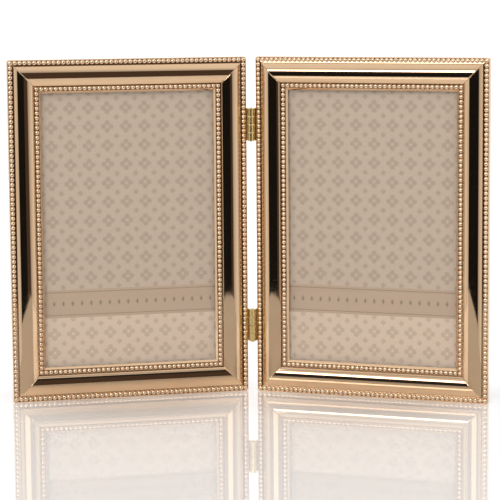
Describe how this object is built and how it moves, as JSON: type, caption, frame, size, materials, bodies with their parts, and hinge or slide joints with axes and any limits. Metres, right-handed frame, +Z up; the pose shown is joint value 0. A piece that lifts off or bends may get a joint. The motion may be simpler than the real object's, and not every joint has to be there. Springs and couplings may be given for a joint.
{
  "type": "double photo frame",
  "caption": "Two polished metal photo frames with beaded borders, joined by small butt hinges so that the pair stands open like a book or folds face to face.",
  "frame": {"origin": "centre of the bounding box at the base, on the surface that the pair stands on", "axes": "+Z up, +X from the left frame to the right frame as a viewer sees them, +Y away from the viewer"},
  "size_m": [0.2418, 0.044, 0.1737],
  "materials": {
    "gilt_metal": "mirror polished, pale champagne gold plate",
    "brass": "bright rolled brass",
    "plated_steel": "zinc plated",
    "clear_glass": "clear float glass",
    "printed_paper": "matt printed sheet, beige",
    "hardboard": "pressed fibre board",
    "black_velvet": "short pile velvet"
  },
  "bodies": {
    "left_frame": {"left_bottom_rail": "gilt_metal", "left_outer_stile": "gilt_metal", "left_top_rail": "gilt_metal", "left_hinge_stile": "gilt_metal", "left_outer_bead": "gilt_metal", "left_inner_bead": "gilt_metal", "left_glass": "clear_glass", "left_print": "printed_paper", "left_backing_board": "hardboard", "left_velvet_cover": "black_velvet", "left_bottom_rivet": "brass", "left_outer_rivet": "brass", "left_top_rivet": "brass", "left_hinge_rivet": "brass", "left_bottom_hinge_key": "plated_steel", "left_bottom_outer_key": "plated_steel", "left_top_outer_key": "plated_steel", "left_top_hinge_key": "plated_steel", "left_lower_hinge_leaf": "brass", "left_lower_hinge_screw_1": "brass", "left_lower_hinge_screw_2": "brass", "left_upper_hinge_leaf": "brass", "left_upper_hinge_screw_1": "brass", "left_upper_hinge_screw_2": "brass", "lower_hinge_pin": "brass", "upper_hinge_pin": "brass"},
    "right_frame": {"right_bottom_rail": "gilt_metal", "right_outer_stile": "gilt_metal", "right_top_rail": "gilt_metal", "right_hinge_stile": "gilt_metal", "right_outer_bead": "gilt_metal", "right_inner_bead": "gilt_metal", "right_glass": "clear_glass", "right_print": "printed_paper", "right_backing_board": "hardboard", "right_velvet_cover": "black_velvet", "right_bottom_rivet": "brass", "right_outer_rivet": "brass", "right_top_rivet": "brass", "right_hinge_rivet": "brass", "right_bottom_hinge_key": "plated_steel", "right_bottom_outer_key": "plated_steel", "right_top_outer_key": "plated_steel", "right_top_hinge_key": "plated_steel", "right_lower_hinge_leaf": "brass", "right_lower_hinge_screw_1": "brass", "right_lower_hinge_screw_2": "brass", "right_upper_hinge_leaf": "brass", "right_upper_hinge_screw_1": "brass", "right_upper_hinge_screw_2": "brass"},
    "left_bottom_button": {"left_bottom_turn_button": "brass"},
    "left_outer_button": {"left_outer_turn_button": "brass"},
    "left_top_button": {"left_top_turn_button": "brass"},
    "left_hinge_button": {"left_hinge_turn_button": "brass"},
    "right_bottom_button": {"right_bottom_turn_button": "brass"},
    "right_outer_button": {"right_outer_turn_button": "brass"},
    "right_top_button": {"right_top_turn_button": "brass"},
    "right_hinge_button": {"right_hinge_turn_button": "brass"}
  },
  "joints": [
    {"name": "fold", "type": "hinge", "parent": "left_frame", "child": "right_frame", "pos_m": [0, 0.01239, 0.08685], "axis": [0, 0, 1], "range_deg": [-146, 44]},
    {"name": "left_bottom_button_turn", "type": "hinge", "parent": "left_frame", "child": "left_bottom_button", "pos_m": [-0.06367, 0.00432, 0.0062], "axis": [-0.2924, 0.9563, 0], "range_deg": [-90, 90]},
    {"name": "left_outer_button_turn", "type": "hinge", "parent": "left_frame", "child": "left_outer_button", "pos_m": [-0.11656, -0.01184, 0.08685], "axis": [-0.2924, 0.9563, 0], "range_deg": [-90, 90]},
    {"name": "left_top_button_turn", "type": "hinge", "parent": "left_frame", "child": "left_top_button", "pos_m": [-0.06367, 0.00432, 0.1675], "axis": [-0.2924, 0.9563, 0], "range_deg": [-90, 90]},
    {"name": "left_hinge_button_turn", "type": "hinge", "parent": "left_frame", "child": "left_hinge_button", "pos_m": [-0.01079, 0.02049, 0.08685], "axis": [-0.2924, 0.9563, 0], "range_deg": [-90, 90]},
    {"name": "right_bottom_button_turn", "type": "hinge", "parent": "right_frame", "child": "right_bottom_button", "pos_m": [0.06367, 0.00432, 0.0062], "axis": [0.2924, 0.9563, 0], "range_deg": [-90, 90]},
    {"name": "right_outer_button_turn", "type": "hinge", "parent": "right_frame", "child": "right_outer_button", "pos_m": [0.11656, -0.01184, 0.08685], "axis": [0.2924, 0.9563, 0], "range_deg": [-90, 90]},
    {"name": "right_top_button_turn", "type": "hinge", "parent": "right_frame", "child": "right_top_button", "pos_m": [0.06367, 0.00432, 0.1675], "axis": [0.2924, 0.9563, 0], "range_deg": [-90, 90]},
    {"name": "right_hinge_button_turn", "type": "hinge", "parent": "right_frame", "child": "right_hinge_button", "pos_m": [0.01079, 0.02049, 0.08685], "axis": [0.2924, 0.9563, 0], "range_deg": [-90, 90]}
  ]
}
